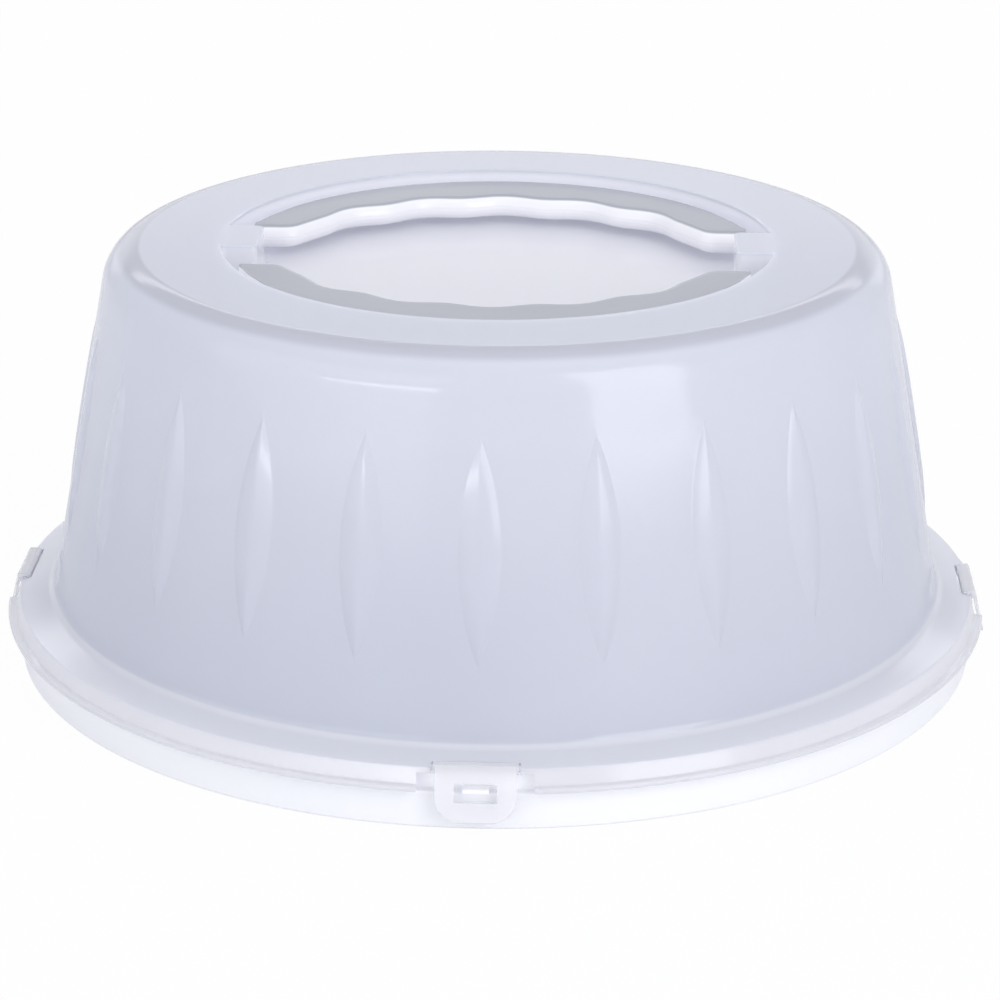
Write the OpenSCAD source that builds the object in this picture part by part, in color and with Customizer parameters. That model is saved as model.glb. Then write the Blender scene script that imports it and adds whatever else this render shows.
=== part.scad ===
// Round cake carrier: a shallow tray, a clear domed lid held by four swing clips,
// and two crescent handles that fold flat into a pocket in the lid's top.
// The origin is the middle of the tray's underside, on the table, and +Z is up.
// The front clip and the front handle lie towards -Y.

/* [Tray] */
// Outer radius of the tray's wall
tray_r = 170; // [150:1:190]
// Height of the tray's wall, up to the ledge that the lid's skirt drops onto
tray_wall_h = 12.6; // [10:0.2:18]
// Thickness of the tray's wall and rim
tray_wall_t = 2.2; // [1.6:0.1:3]
// Thickness of the tray's floor
tray_floor_t = 2.2; // [1.6:0.1:3]
// Height of the floor's underside above the table
tray_foot_h = 2; // [1.6:0.1:3]
// Width of the ring that the tray stands on
tray_foot_w = 5; // [4:0.5:8]
// Radius of the hollow corner between the floor and the wall
tray_corner_r = 6; // [3:0.5:8]
// How far the rim stands in from the wall
rim_step = 2.6; // [2:0.1:4]
// Height of the rim above the ledge
rim_h = 6.4; // [5.6:0.1:6.8]
// Rounding of the rim's top and of the wall's lower edge
edge_r = 0.9; // [0.4:0.1:1]
// Rounding of the wall's upper edge, at the ledge
ledge_r = 0.4; // [0.2:0.1:0.8]
// Height of the stiffening ribs under the floor
under_rib_h = 1.4; // [0.8:0.1:1.5]
// Thickness of the stiffening ribs under the floor
under_rib_t = 1.6; // [1:0.1:2.5]
// Radius of the ring that ties the stiffening ribs together
under_ring_r = 60; // [40:1:100]
// Number of stiffening ribs under the floor
under_rib_count = 12; // [6:1:24]

/* [Lid] */
// Height of the lid's flat top above the table
total_h = 146; // [120:1:170]
// Thickness of the lid all over
lid_t = 1.8; // [1.4:0.1:2.2]
// Distance from the flange's outer edge in to the foot of the dome's wall
flange_w = 12; // [9:0.5:16]
// How much the flange falls from the foot of the wall to its outer edge
flange_fall = 2; // [1:0.1:3]
// Slope of the dome's wall from the vertical, in degrees
wall_draft = 10.3; // [4:0.1:14]
// Radius of the round shoulder between the wall and the flat top
shoulder_r = 13.5; // [8:0.5:18]
// Radius of the hollow between the wall and the flange
foot_r = 4; // [2:0.5:6]
// Gap between the tray's rim and the inside of the lid's skirt
rim_clear = 0.6; // [0.3:0.1:1]
// Gap between the tray's rim and the underside of the flange
seat_clear = 0.2; // [0.1:0.05:0.3]
// Gap between the tray's ledge and the skirt's lower edge
skirt_clear = 0.6; // [0.3:0.1:1]
// How much wider the skirt is at its lower edge than at its top
skirt_flare = 1.3; // [0.5:0.1:2]
// How far the lip stands out from the skirt's lower edge
lip_out = 1.4; // [0.8:0.1:2]
// Height of the lip
lip_h = 1.9; // [1.2:0.1:2.4]
// Rounding of the flange's outer edge
flange_edge_r = 0.5; // [0.2:0.1:1]

/* [Ribs on the dome] */
// Number of swelling ribs round the dome's wall
rib_count = 24; // [12:1:28]
// Length of a rib along the wall
rib_len = 74; // [50:1:80]
// Width of a rib at its middle
rib_w = 14; // [8:0.5:18]
// How far a rib swells out of the wall
rib_out = 1.5; // [0.8:0.1:1.7]
// Height of the ribs' middle above the table
rib_mid_z = 84; // [78:1:88]

/* [Handle pocket] */
// Radius of the pocket in the lid's top
pocket_r = 96.3; // [92:0.5:100]
// Depth of the pocket
pocket_depth = 14; // [12.5:0.5:18]
// Distance from the middle to the end of each tongue that reaches into the pocket
tongue_x = 83; // [80:0.5:86]
// Width of the tongues
tongue_w = 27; // [20:1:30]
// Radius of the tongues' corners
tongue_r = 2; // [1:0.5:3]
// Bevel round the pocket's upper edge
pocket_bevel = 0.8; // [0.4:0.1:1]

/* [Handles] */
// Thickness of a handle
handle_t = 8.4; // [7:0.2:9]
// Depth of a folded handle's top below the lid's top
handle_drop = 3; // [2:0.5:3.5]
// Gap between a folded handle and the pocket's round wall
handle_gap = 3.8; // [3:0.1:5]
// Distance from the lid's middle line to a handle's hinge axis
pivot_y = 26.4; // [24:0.2:30]
// Radius of the arc that a handle's grip edge follows
grip_r = 84.4; // [82:0.2:88]
// Distance from the middle back to the centre of that arc
grip_shift = 15.3; // [13:0.1:17]
// Number of finger hollows in a grip
finger_count = 5; // [3:2:5]
// Angle from one finger hollow to the next, seen from the centre of the grip's arc, in degrees
finger_pitch = 20.2; // [18:0.1:21]
// Depth of the finger hollows
finger_depth = 2.8; // [1:0.1:3.4]
// Rounding of a handle's shoulders, where the grip turns into the hinge barrels
lobe_r = 8; // [5:0.5:10]
// Rounding of a handle's outer edge
handle_edge_r = 2; // [1:0.1:2.5]
// Wall thickness of a handle round its hollow underside
handle_wall = 2.6; // [2:0.1:3.2]
// Thickness of the ribs across a handle's hollow underside
handle_rib = 1.8; // [1.2:0.1:2.5]
// Radius of the hinge pins
pin_r = 2; // [1.5:0.1:2.5]
// Gap round a hinge pin in its socket
pin_clear = 0.08; // [0.03:0.01:0.1]
// Length of a hinge pin beyond the pocket's wall
pin_bite = 3; // [2:0.1:4]
// Clear length of a pin between the handle's end and the pocket's wall
pin_free = 5; // [3:0.1:6]
// Wall thickness of the sockets that hold the pins
socket_wall = 2.2; // [1.6:0.1:2.6]
// Gap between the end of a pin and the bottom of its socket
pin_end_gap = 0.5; // [0.2:0.1:1]
// Length of a pin inside the handle
pin_root = 6; // [3:0.5:10]
// Extra thickness of the grip's wall beyond its round edge
grip_wall = 1; // [0.6:0.1:2]

/* [Clips] */
// Width of a clip
clip_w = 27; // [20:0.5:32]
// Thickness of a clip's plate
clip_t = 1.7; // [1.2:0.1:2]
// Gap between the tray's wall and a closed clip's plate
clip_gap = 1.3; // [1:0.1:2]
// Height of a closed clip's lower edge above the table
clip_z = 3; // [2:0.2:5]
// How far the finger tab flares out at its lower edge
clip_flare = 2.6; // [1:0.1:4]
// Height above which the plate is straight, and below which it flares
clip_bend_z = 9.4; // [8:0.2:10]
// Radius of the clip's lower corners
clip_corner_r = 9; // [4:0.5:10]
// How far the border stands out from the clip's plate
clip_border_h = 0.8; // [0.4:0.1:1.2]
// Width of that border
clip_border_w = 1.7; // [1:0.1:3]
// Height of the mouth through which the hook snaps onto its bar
hook_mouth = 1.7; // [1.4:0.05:1.75]
// Radius of the bar that a clip turns on
bar_r = 1; // [0.9:0.05:1.2]
// Gap round the bar inside the clip's hook
bar_clear = 0.08; // [0.03:0.01:0.1]
// Wall thickness of the clip's hook round the bar
hook_wall = 0.8; // [0.7:0.05:0.9]
// Distance from the flange's outer edge in to the bar's axis
bar_in = 1.1; // [0.8:0.1:1.3]
// How far the bar stands up above the flange's outer edge
bar_up = 0.6; // [0.4:0.1:0.8]
// Gap at each end of a clip, between it and the flange
clip_side = 0.6; // [0.3:0.1:1]
// Clear width of the skirt's notch at each side of a clip
notch_side = 5.2; // [3:0.2:7]
// Width of the window in a clip
window_w = 13.6; // [11:0.2:16]
// Height of the window in a clip
window_h = 6; // [5:0.2:6.4]
// Gap between the window's lower edge and the underside of the catch
window_drop = 2; // [1:0.1:2.4]
// Width of the catch on the tray
catch_w = 8.4; // [6:0.2:10]
// Height of the catch on the tray
catch_h = 2.6; // [1.6:0.1:3]
// Gap between the catch's tip and the closed clip's plate
catch_clear = 0.2; // [0.1:0.05:0.4]

/* [Hidden] */
$fn = 64;
// A small overlap that keeps cuts and joined solids from ending on the same face
eps = 0.01;
// A longer overrun for cuts that pass right through
over = 1;
// Largest turn of one step along a rounded corner, in degrees
arc_step = 8;
// Headings of the clips round the lid, in degrees
front = -90;
right = 0;
rear = 90;
left = 180;

// Tray
rim_r = tray_r - rim_step;
rim_top = tray_wall_h + rim_h;
tray_floor_top = tray_foot_h + tray_floor_t;
tray_inner_r = rim_r - tray_wall_t;

// Lid, from the skirt up
flange_r = rim_r + rim_clear + lid_t;
flange_z = rim_top + seat_clear + lid_t;
wall_foot = [flange_r - flange_w, flange_z + flange_fall];
wall_top = [wall_foot[0] - (total_h - wall_foot[1]) * tan(wall_draft), total_h];
skirt_z = tray_wall_h + skirt_clear;
skirt_slope = skirt_flare / (flange_z - skirt_z);
lip_r = flange_r + skirt_flare + lip_out;

// Ribs on the dome: each is where two large rings lie over each other
rib_tube = (pow(rib_w / 2, 2) + pow(rib_out, 2)) / (2 * rib_out);
rib_ring = (pow(rib_len / 2, 2) + pow(rib_w / 2, 2)) / rib_w;
// Half the distance by which the two rings miss each other at the rib's middle
rib_crest = 1;
rib_mid_x = wall_foot[0] - (rib_mid_z - wall_foot[1]) * tan(wall_draft);

// Handle pocket and handles
pocket_z = total_h - pocket_depth;
handle_mid_z = total_h - handle_drop - handle_t / 2;
handle_r = pocket_r - handle_gap;
barrel_r = handle_t / 2;
pocket_wall_x = sqrt(pow(pocket_r, 2) - pow(pivot_y, 2));
barrel_x = pocket_wall_x - pin_free;
pin_x = pocket_wall_x + pin_bite;
socket_r = pin_r + pin_clear + socket_wall;
// The grip's arc between the finger hollows, its last hollow, and where it meets the shoulders
ridge_r = grip_r - finger_depth;
finger_end = finger_pitch * finger_count / 2;
lobe_y = pivot_y - barrel_r + lobe_r;
lobe_x = sqrt(pow(ridge_r + lobe_r, 2) - pow(grip_shift + lobe_y, 2));
lobe_turn = asin(lobe_x / (ridge_r + lobe_r));

// Steps along each shoulder and each finger hollow of a handle
shoulder_steps = 5;
finger_steps = 8;

// Clips
clip_in = tray_r + clip_gap;
bar_at = flange_r - bar_in;
bar_z = flange_z + bar_up - bar_r;
hook_r = bar_r + bar_clear + hook_wall;
cutout_w = clip_w + 2 * clip_side;
cutout_in = bar_at - hook_r - clip_side;
notch_w = clip_w + 2 * notch_side;
catch_tip = clip_in - catch_clear;
window_z = tray_wall_h - window_drop;

function unit(v) = v / norm(v);

// Points of an outline's corner b, rounded to the radius b[2] where it has one
function corner(a, b, c) =
    let (p = [b[0], b[1]])
    is_undef(b[2]) ? [p] :
    let (u = unit([a[0], a[1]] - p), w = unit([c[0], c[1]] - p))
    let (half = acos(u * w) / 2, turn = 180 - 2 * half, steps = ceil(turn / arc_step))
    let (centre = p + unit(u + w) * b[2] / sin(half))
    let (from = p + u * b[2] / tan(half) - centre, to = p + w * b[2] / tan(half) - centre)
    [for (k = [0:steps]) let (t = turn * k / steps)
        centre + (sin(turn - t) * from + sin(t) * to) / sin(turn)];

// An outline of points [x, y] and rounded corners [x, y, radius]
function rounded(p) = let (n = len(p))
    [for (i = [0:n - 1]) each corner(p[(i + n - 1) % n], p[i], p[(i + 1) % n])];

// The point where two walls of an outline meet once both have moved d to their right-hand side
function moved(a, b, c, d) =
    let (u = unit(b - a), w = unit(c - b), n = [u[1], -u[0]], m = [w[1], -w[0]])
    b + d * (n + m) / (1 + n * m);

// Radius of the skirt's outside at the height z
function skirt_at(z) = flange_r + (flange_z - z) * skirt_slope;

// Outside of the lid, from its axis down to the lip
module lid_outside() {
    polygon(rounded([
        [0, total_h], [wall_top[0], wall_top[1], shoulder_r], [wall_foot[0], wall_foot[1], foot_r],
        [flange_r, flange_z, flange_edge_r], [skirt_at(skirt_z + lip_h), skirt_z + lip_h],
        [lip_r, skirt_z + lip_h, 0.45 * lip_h], [lip_r, skirt_z, 0.45 * lip_h], [0, skirt_z]]));
}

// Inside of the lid, lid_t in from its outside all along
module lid_inside() {
    flange_edge = [flange_r, flange_z];
    top = moved([0, total_h], wall_top, wall_foot, lid_t);
    foot = moved(wall_top, wall_foot, flange_edge, lid_t);
    edge = moved(wall_foot, flange_edge, [skirt_at(skirt_z), skirt_z], lid_t);
    low = skirt_z - over;
    polygon(rounded([
        [0, top[1]], [top[0], top[1], shoulder_r - lid_t], [foot[0], foot[1], foot_r + lid_t],
        edge, [edge[0] + (edge[1] - low) * skirt_slope, low], [0, low]]));
}

// One of the two rings whose overlap is a rib, to the left or right of the rib
module rib_flank(side) {
    translate([rib_out - rib_tube, side * (rib_ring - rib_crest), 0]) rotate([0, 90, 0])
        rotate_extrude($fn = 360) translate([rib_ring, 0]) circle(rib_tube, $fn = 90);
}

// One swelling rib with pointed ends, out to rib_out from the wall
module rib() {
    translate([rib_mid_x, 0, rib_mid_z]) rotate([0, -wall_draft, 0]) intersection() {
        translate([-lid_t / 2, -rib_w, -rib_len]) cube([rib_out + lid_t, 2 * rib_w, 2 * rib_len]);
        rib_flank(-1);
        rib_flank(1);
    }
}

// Plan of the pocket with a tongue reaching in at each side, moved out by grow all round
module pocket_plan(grow) {
    half = tongue_w / 2 - grow;
    x = tongue_x + grow;
    far = pocket_r + grow + over;
    difference() {
        circle(pocket_r + grow, $fn = 180);
        for (s = [0, 180]) rotate(s)
            polygon(rounded([[x, -half, tongue_r], [far, -half], [far, half], [x, half, tongue_r]]));
    }
}

// Puts its children at each of the four handle pins, with +X pointing out along the pin
module at_pins() {
    for (s = [0, 1], t = [0, 1])
        mirror([s, 0, 0]) mirror([0, t, 0]) translate([0, -pivot_y, handle_mid_z]) children();
}

// Puts its children at each of the four clips, with +X pointing out
module at_clips() {
    for (a = [front, right, rear, left]) rotate(a) children();
}

// A round bar along X
module along_x(from, to, r) {
    translate([from, 0, 0]) rotate([0, 90, 0]) cylinder(h = to - from, r = r);
}

// Shallow tray with a stepped rim, a foot ring, ribs beneath and a catch for each clip
module tray() {
    foot_in = tray_r - tray_foot_w;
    under_z = tray_foot_h - under_rib_h;
    catch_in = rim_r - tray_wall_t / 2;
    color("white") {
        rotate_extrude($fn = 180) polygon(rounded([
            [0, tray_foot_h], [foot_in, tray_foot_h], [foot_in, 0], [tray_r, 0, edge_r],
            [tray_r, tray_wall_h, ledge_r], [rim_r, tray_wall_h], [rim_r, rim_top, edge_r],
            [tray_inner_r, rim_top, edge_r], [tray_inner_r, tray_floor_top, tray_corner_r],
            [0, tray_floor_top]]));
        rotate_extrude($fn = 120) translate([under_ring_r - under_rib_t / 2, under_z])
            square([under_rib_t, under_rib_h + eps]);
        for (i = [0:under_rib_count - 1]) rotate(i * 360 / under_rib_count)
            translate([under_ring_r, -under_rib_t / 2, under_z])
                cube([foot_in - under_ring_r + eps, under_rib_t, under_rib_h + eps]);
        at_clips() translate([0, catch_w / 2, tray_wall_h]) rotate([90, 0, 0]) linear_extrude(catch_w)
            polygon([[catch_in, -eps], [catch_tip, -eps], [catch_tip, catch_h / 2], [rim_r, catch_h],
                     [catch_in, catch_h]]);
    }
}

// Domed lid with its flange, skirt, lip, ribs, pocket, pin sockets and clip bars
module lid() {
    color("lavender", 0.6) {
        difference() {
            union() {
                rotate_extrude($fn = 180) lid_outside();
                for (i = [0:rib_count - 1]) rotate(i * 360 / rib_count) rib();
            }
            difference() {
                rotate_extrude($fn = 180) lid_inside();
                translate([0, 0, pocket_z - lid_t]) linear_extrude(pocket_depth + lid_t) pocket_plan(lid_t);
                at_pins() along_x(pocket_wall_x, pin_x + socket_wall, socket_r);
            }
            translate([0, 0, pocket_z]) linear_extrude(pocket_depth + over) pocket_plan(0);
            difference() {
                translate([0, 0, total_h - pocket_bevel])
                    cylinder(h = 2 * pocket_bevel, r1 = pocket_r, r2 = pocket_r + 2 * pocket_bevel, $fn = 180);
                translate([-tray_r, -tongue_w / 2, pocket_z]) cube([2 * tray_r, tongue_w, total_h]);
            }
            at_pins() along_x(barrel_x, pin_x + pin_end_gap, pin_r + pin_clear);
            at_clips() {
                translate([rim_r + rim_clear / 2, -notch_w / 2, 0])
                    cube([tray_r, notch_w, flange_z - lid_t]);
                translate([cutout_in, -cutout_w / 2, 0]) cube([tray_r, cutout_w, 2 * flange_z]);
            }
        }
        at_clips() translate([bar_at, 0, bar_z]) rotate([90, 0, 0])
            cylinder(h = cutout_w + over, r = bar_r, center = true);
    }
}

// Depth of a finger hollow beyond the ridges, at the turn a round the grip's centre
function hollow(a) = abs(a) > finger_end ? 0 : finger_depth * (1 + cos(360 * a / finger_pitch)) / 2;

// Inner edge of a handle that lies towards -Y: barrel, shoulder, grip, shoulder, barrel
function grip_line() =
    let (shoulder = [for (k = [0:shoulder_steps]) let (t = lobe_turn * (1 - k / shoulder_steps))
        [lobe_x - lobe_r * sin(t), -lobe_y + lobe_r * cos(t)]])
    let (side = concat(shoulder, [[barrel_x, barrel_r - pivot_y]]))
    let (steps = finger_count * finger_steps)
    concat(
        [for (k = [len(side) - 1:-1:0]) [-side[k][0], side[k][1]]],
        [for (k = [0:steps]) let (a = finger_end * (2 * k / steps - 1), r = ridge_r + hollow(a))
            [r * sin(a), grip_shift - r * cos(a)]],
        side);

// A handle's solid: sections from its outer edge to its rounded inner edge, one after another
module crescent() {
    line = grip_line();
    last = len(line) - 1;
    end_turn = asin(barrel_x / handle_r);
    line_turn = atan2(line[last][0], -line[last][1]);
    round_turns = [for (k = [0:8]) 90 - k * 180 / 8];
    edge_turns = [for (k = [0:2]) k * 90 / 2];
    corner_z = barrel_r - handle_edge_r;
    sections = [for (i = [0:last])
        let (a = atan2(line[i][0], -line[i][1]) * end_turn / line_turn)
        let (outer = handle_r * [sin(a), -cos(a)], inward = unit(line[i] - outer))
        let (along = unit(line[min(i + 1, last)] - line[max(i - 1, 0)]), square_in = [along[1], -along[0]])
        let (from_grip = i == 0 || i == last ? [0, -1] : square_in)
        concat(
            [for (t = round_turns) let (p = line[i] + barrel_r * (1 - cos(t)) * from_grip)
                [p[0], p[1], barrel_r * sin(t)]],
            [for (t = edge_turns) let (p = outer + handle_edge_r * (1 - sin(t)) * inward)
                [p[0], p[1], -corner_z - handle_edge_r * cos(t)]],
            [for (t = edge_turns) let (p = outer + handle_edge_r * (1 - cos(t)) * inward)
                [p[0], p[1], corner_z + handle_edge_r * sin(t)]])];
    n = len(sections[0]);
    sides = [for (i = [0:last - 1], k = [0:n - 1]) let (j = (k + 1) % n)
        each [[i * n + k, i * n + j, (i + 1) * n + k], [i * n + j, (i + 1) * n + j, (i + 1) * n + k]]];
    ends = [[for (k = [n - 1:-1:0]) k], [for (k = [0:n - 1]) last * n + k]];
    polyhedron([for (section = sections) each section], concat(sides, ends));
}

// Hollow underside of a handle, with a rib left standing at each ridge between the fingers
module handle_hollow() {
    in_r = grip_r + barrel_r + grip_wall;
    translate([0, 0, -barrel_r - over]) linear_extrude(handle_t - handle_wall + over) difference() {
        circle(handle_r - handle_wall);
        translate([0, grip_shift]) {
            circle(in_r);
            for (k = [0:finger_count]) rotate(k * finger_pitch - finger_end)
                translate([-handle_rib / 2, -2 * handle_r]) square([handle_rib, 2 * handle_r]);
            for (s = [-1, 1]) rotate(s * (finger_end + 90)) translate([-2 * handle_r, -2 * handle_r])
                square([4 * handle_r, 2 * handle_r]);
        }
        translate([-2 * handle_r, -lobe_y]) square(4 * handle_r);
    }
}

// Crescent handle that lies folded towards -Y
module handle() {
    translate([0, 0, handle_mid_z]) {
        difference() {
            crescent();
            handle_hollow();
        }
        translate([0, -pivot_y, 0]) for (s = [0, 1]) mirror([s, 0, 0]) along_x(barrel_x - pin_root, pin_x, pin_r);
    }
}

module front_handle() {
    color("lightgray") handle();
}

module rear_handle() {
    color("lightgray") mirror([0, 1, 0]) handle();
}

// Outline of a clip seen from outside, drawn across and up, moved in by inset
module clip_outline(inset) {
    half = clip_w / 2 - inset;
    low = clip_z + inset;
    high = bar_z + hook_r + over;
    r = clip_corner_r - inset;
    polygon(rounded([[-half, low, r], [half, low, r], [half, high], [-half, high]]));
}

// Side of a clip: the bent finger tab, the straight plate and the hook, moved out by out
module clip_side_view(out) {
    tab = clip_in + clip_flare;
    high = bar_z + hook_r;
    face = clip_in + clip_t + out;
    polygon(rounded([
        [clip_in, clip_bend_z], [tab, clip_z - eps], [tab + clip_t + out, clip_z - eps],
        [face, clip_bend_z], [face, high, clip_t / 2], [clip_in, high]]));
}

// Puts a side view, drawn outwards and up, across the width of a clip
module across_clip(width) {
    translate([0, width / 2, 0]) rotate([90, 0, 0]) linear_extrude(width) children();
}

// Keeps what lies within an outline, drawn across and up, as seen from outside
module seen_from_outside() {
    translate([clip_in - over, 0, 0]) rotate([90, 0, 90]) linear_extrude(clip_w) children();
}

// A clip that lies towards +X, hanging closed from its bar
module clip() {
    difference() {
        union() {
            intersection() {
                across_clip(clip_w) clip_side_view(0);
                seen_from_outside() clip_outline(0);
            }
            intersection() {
                across_clip(clip_w) clip_side_view(clip_border_h);
                seen_from_outside() difference() {
                    clip_outline(0);
                    clip_outline(clip_border_w);
                }
            }
            across_clip(clip_w) {
                translate([bar_at, bar_z]) circle(hook_r);
                translate([bar_at, bar_z]) square([clip_in + clip_t / 2 - bar_at, hook_r]);
            }
        }
        across_clip(clip_w + 2 * over) {
            translate([bar_at, bar_z]) circle(bar_r + bar_clear);
            translate([bar_at - 2 * hook_r, bar_z - hook_mouth / 2]) square([2 * hook_r, hook_mouth]);
        }
        seen_from_outside() translate([-window_w / 2, window_z]) square([window_w, window_h]);
    }
}

module front_clip() {
    color("white", 0.7) rotate(front) clip();
}

module right_clip() {
    color("white", 0.7) rotate(right) clip();
}

module rear_clip() {
    color("white", 0.7) rotate(rear) clip();
}

module left_clip() {
    color("white", 0.7) rotate(left) clip();
}

tray();
lid();
front_handle();
rear_handle();
front_clip();
right_clip();
rear_clip();
left_clip();
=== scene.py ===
# %% [markdown]
# # A round cake carrier, dressed for its portrait
# The carrier is a shallow white tray, a hazy moulded dome that drops over it, four small clips
# that swing on bars round the dome's flange, and two crescent handles folded into a pocket in
# the dome's top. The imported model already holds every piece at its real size, so the scene
# loads it as a fixed frame and models a smooth, finely shaded piece over each of its parts.

# %% Load the frame
import math

import bpy
from mathutils import Matrix, Vector


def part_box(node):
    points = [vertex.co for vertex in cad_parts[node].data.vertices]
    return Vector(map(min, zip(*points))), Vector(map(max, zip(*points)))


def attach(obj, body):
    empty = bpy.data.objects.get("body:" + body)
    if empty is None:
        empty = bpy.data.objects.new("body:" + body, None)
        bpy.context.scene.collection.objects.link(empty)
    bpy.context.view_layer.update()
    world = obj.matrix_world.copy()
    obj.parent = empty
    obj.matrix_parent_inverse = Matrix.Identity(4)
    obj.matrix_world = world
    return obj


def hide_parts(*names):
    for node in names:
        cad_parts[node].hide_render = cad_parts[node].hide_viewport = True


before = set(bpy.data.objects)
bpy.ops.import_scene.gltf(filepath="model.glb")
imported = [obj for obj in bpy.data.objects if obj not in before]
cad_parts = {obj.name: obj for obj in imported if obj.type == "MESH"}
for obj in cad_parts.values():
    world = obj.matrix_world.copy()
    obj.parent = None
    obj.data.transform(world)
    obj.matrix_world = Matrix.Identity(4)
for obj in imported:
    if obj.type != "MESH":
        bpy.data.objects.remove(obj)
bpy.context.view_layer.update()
bpy.ops.object.select_all(action="DESELECT")
print("parts of the carrier:", ", ".join(sorted(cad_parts)))

# %% [markdown]
# ## Sizes
# Everything here is written in millimetres, as on a drawing, and turned into metres at the last
# moment. The lid's height and the height of the tray's rim are read from the frame, so in these
# the dressed carrier keeps to the model that moves.

# %% Sizes shared by the pieces
MM = 0.001
total_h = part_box("lid")[1].z / MM
rim_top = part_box("tray")[1].z / MM
lid_t = 1.8
tray_r = 170.0
rim_r = 167.4
flange_r = 170.3
flange_z = rim_top + 2.0
wall_draft = 10.3
wall_foot = (157.8, flange_z + 2.0)
wall_top = (wall_foot[0] - (total_h - wall_foot[1]) * math.tan(math.radians(wall_draft)), total_h)
shoulder_r = 13.5
crease_r = wall_top[0] - shoulder_r * math.tan(math.radians(90 - wall_draft) / 2)
pocket_r, pocket_z = 96.3, 132.0
headings = {"front": -90.0, "right": 0.0, "rear": 90.0, "left": 180.0}
print(f"the lid stands {total_h:.1f} mm high, its flange is {2 * flange_r:.1f} mm across")

# %% [markdown]
# ## Camera
# The photograph looks down at the carrier by about nineteen degrees from a little over a metre
# away. A lens is chosen from how fast the ellipses of the rim and the top open up, and a small
# shift puts the carrier at its place in the square frame.

# %% Camera
view_pitch = math.radians(19.07)
view_turn = math.radians(2.0)
view_roll = math.radians(0.29)
view_distance = 1.2075
looked_at = Vector((0.0, 0.0, 0.070))
camera_data = bpy.data.cameras.new("camera")
camera_data.lens = 121.9
camera_data.sensor_width = 36.0
camera_data.shift_x = 0.0037
camera_data.shift_y = -0.0556
camera = bpy.data.objects.new("camera", camera_data)
bpy.context.scene.collection.objects.link(camera)
towards_camera = Vector((
    math.sin(view_turn) * math.cos(view_pitch),
    -math.cos(view_turn) * math.cos(view_pitch),
    math.sin(view_pitch),
))
camera.location = looked_at + view_distance * towards_camera
aim = (-towards_camera).to_track_quat("-Z", "Y").to_matrix().to_4x4()
roll = Matrix.Rotation(view_roll, 4, "Z")
camera.matrix_world = Matrix.Translation(camera.location) @ aim @ roll
bpy.context.scene.camera = camera
print(f"camera {view_distance:.3f} m away, {math.degrees(view_pitch):.1f} degrees above the table")

# %% [markdown]
# ## Small helpers for materials
# A material is a handful of nodes. `wired` makes a node and sets its sockets by name, so each
# finish below reads as a short recipe.

# %% Helpers for materials
def new_material(name):
    material = bpy.data.materials.new(name)
    material.use_nodes = True
    tree = material.node_tree
    return material, tree, tree.nodes["Principled BSDF"]


def wired(tree, kind, **values):
    node = tree.nodes.new(kind)
    for key, value in values.items():
        socket = key.replace("_", " ")
        if socket in node.inputs:
            node.inputs[socket].default_value = value
        else:
            setattr(node, key, value)
    return node


def linear(r, g, b):
    """A colour seen on screen, 0 to 255, as the light that a node takes."""
    return tuple((c / 255.0) ** 2.2 for c in (r, g, b)) + (1.0,)


def grained(tree, shader, scale, rough_low, rough_high, bump_mm):
    """A fine moulding grain: it moves the roughness a little and lifts the surface a trace."""
    place = wired(tree, "ShaderNodeTexCoord")
    noise = wired(tree, "ShaderNodeTexNoise", Scale=scale, Detail=4.0, Roughness=0.55)
    spread = wired(tree, "ShaderNodeMapRange")
    spread.inputs["To Min"].default_value = rough_low
    spread.inputs["To Max"].default_value = rough_high
    bump = wired(tree, "ShaderNodeBump", Strength=1.0, Distance=bump_mm * MM)
    tree.links.new(place.outputs["Object"], noise.inputs["Vector"])
    tree.links.new(noise.outputs["Fac"], spread.inputs["Value"])
    tree.links.new(spread.outputs["Result"], shader.inputs["Roughness"])
    tree.links.new(noise.outputs["Fac"], bump.inputs["Height"])
    tree.links.new(bump.outputs["Normal"], shader.inputs["Normal"])


def clouded(tree, shader, scale, pale, deep):
    """A slow drift between two close colours, as in plastic that flowed into a mould."""
    place = wired(tree, "ShaderNodeTexCoord")
    cloud = wired(tree, "ShaderNodeTexNoise", Scale=scale, Detail=2.0, Roughness=0.4)
    ramp = wired(tree, "ShaderNodeValToRGB")
    ramp.color_ramp.elements[0].position = 0.35
    ramp.color_ramp.elements[0].color = deep
    ramp.color_ramp.elements[1].position = 0.65
    ramp.color_ramp.elements[1].color = pale
    tree.links.new(place.outputs["Object"], cloud.inputs["Vector"])
    tree.links.new(cloud.outputs["Fac"], ramp.inputs["Fac"])
    tree.links.new(ramp.outputs["Color"], shader.inputs["Base Color"])


def step_up(tree, value, start, end, unit=MM):
    """Turns a number, most often a length, into a share from 0 to 1 between two places."""
    node = wired(tree, "ShaderNodeMapRange", interpolation_type="SMOOTHSTEP")
    node.inputs["From Min"].default_value = start * unit
    node.inputs["From Max"].default_value = end * unit
    tree.links.new(value, node.inputs["Value"])
    return node.outputs["Result"]


def both(tree, a, b):
    """Where two shares hold together."""
    node = wired(tree, "ShaderNodeMath", operation="MULTIPLY")
    tree.links.new(a, node.inputs[0])
    tree.links.new(b, node.inputs[1])
    return node.outputs["Value"]


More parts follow.
